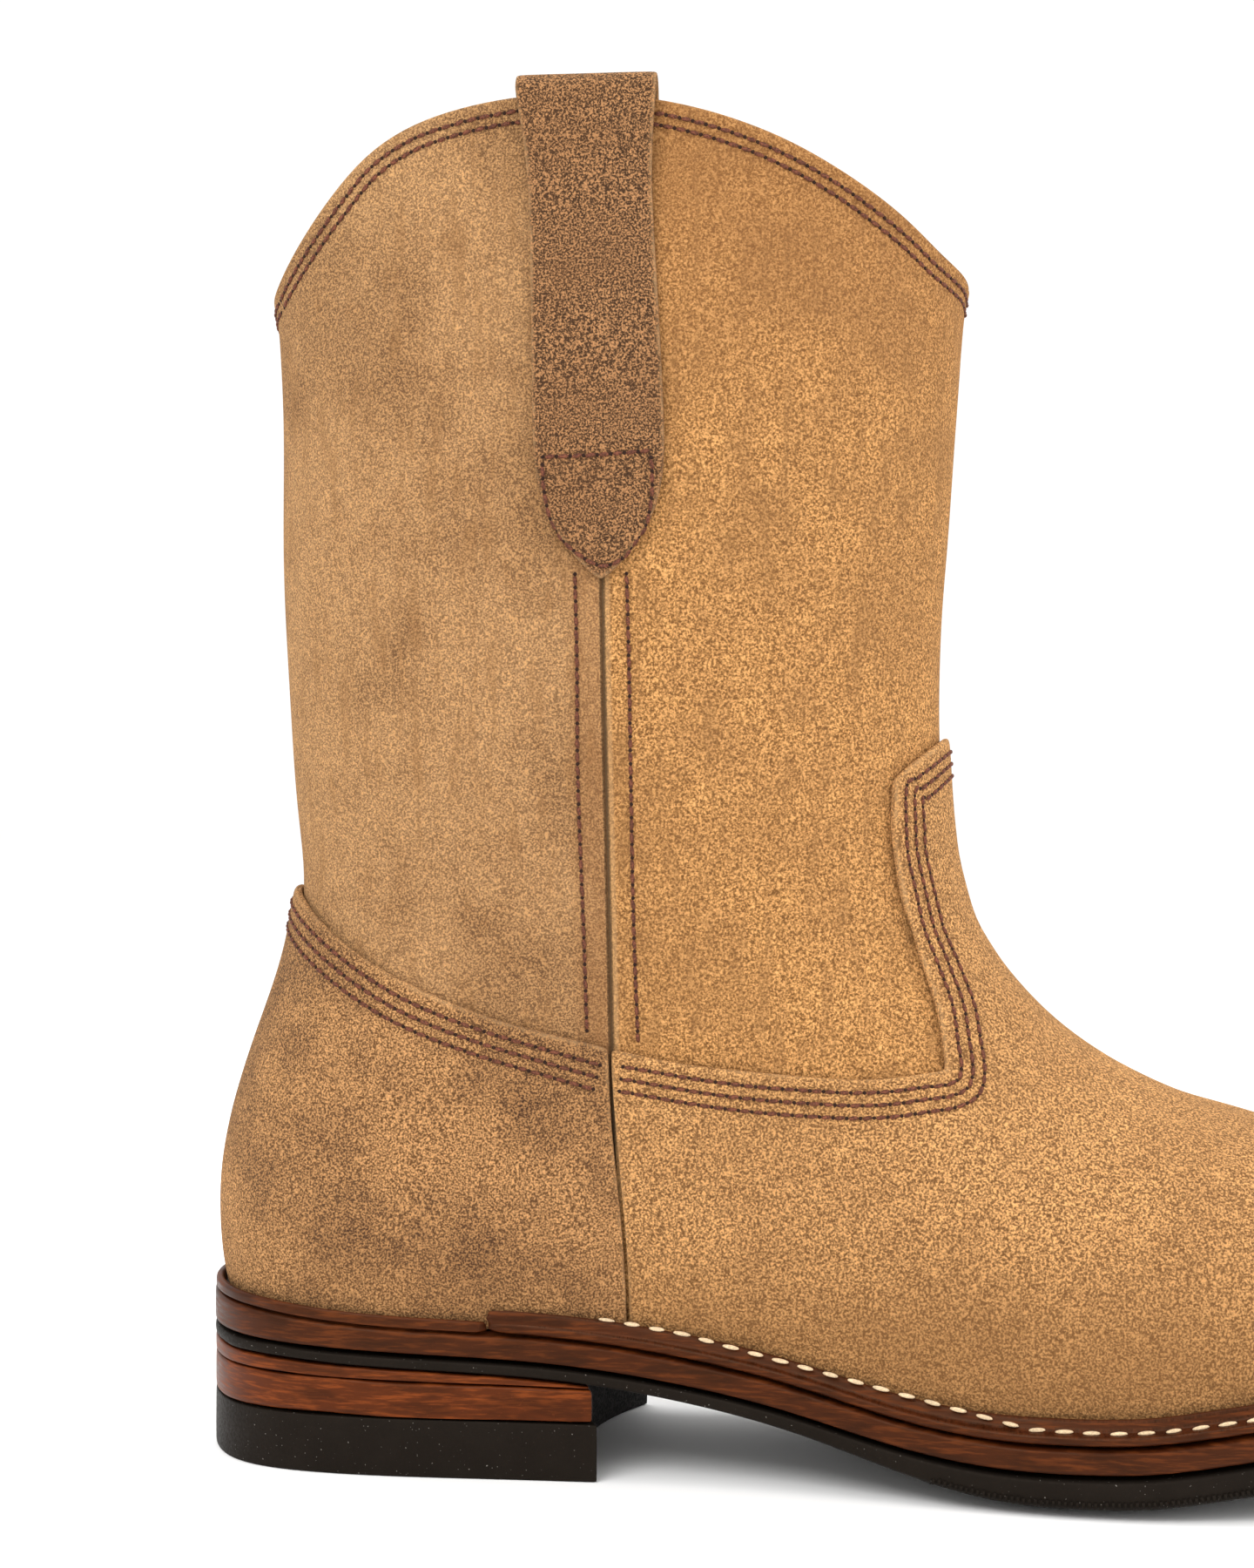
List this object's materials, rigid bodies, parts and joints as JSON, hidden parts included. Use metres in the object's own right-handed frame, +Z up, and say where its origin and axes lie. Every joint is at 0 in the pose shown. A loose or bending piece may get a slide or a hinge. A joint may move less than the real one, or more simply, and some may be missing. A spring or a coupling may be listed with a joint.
{
  "type": "roper boot",
  "caption": "Pull-on roughout leather roper boot for the right foot, with a scalloped collar, pull straps, a storm welt and a low stacked heel",
  "frame": {"origin": "on the floor, under the middle of the boot's box", "axes": "+X to the toe, +Y to the medial side, +Z up"},
  "size_m": [0.302, 0.1071, 0.3014],
  "materials": {
    "suede": "roughout",
    "strap_suede": "roughout",
    "insole_leather": "matte",
    "welt_leather": "satin",
    "edge_leather": "satin",
    "sole_rubber": "matte"
  },
  "bodies": {
    "root": {"upper": "suede", "vamp": "suede", "counter": "suede", "pull_strap_lateral": "strap_suede", "pull_strap_medial": "strap_suede", "insole": "insole_leather", "welt": "welt_leather", "heel_rand": "welt_leather", "midsole": "edge_leather", "outsole": "sole_rubber", "heel_wedge": "edge_leather", "heel_block": "edge_leather", "top_lift": "sole_rubber"}
  },
  "joints": []
}
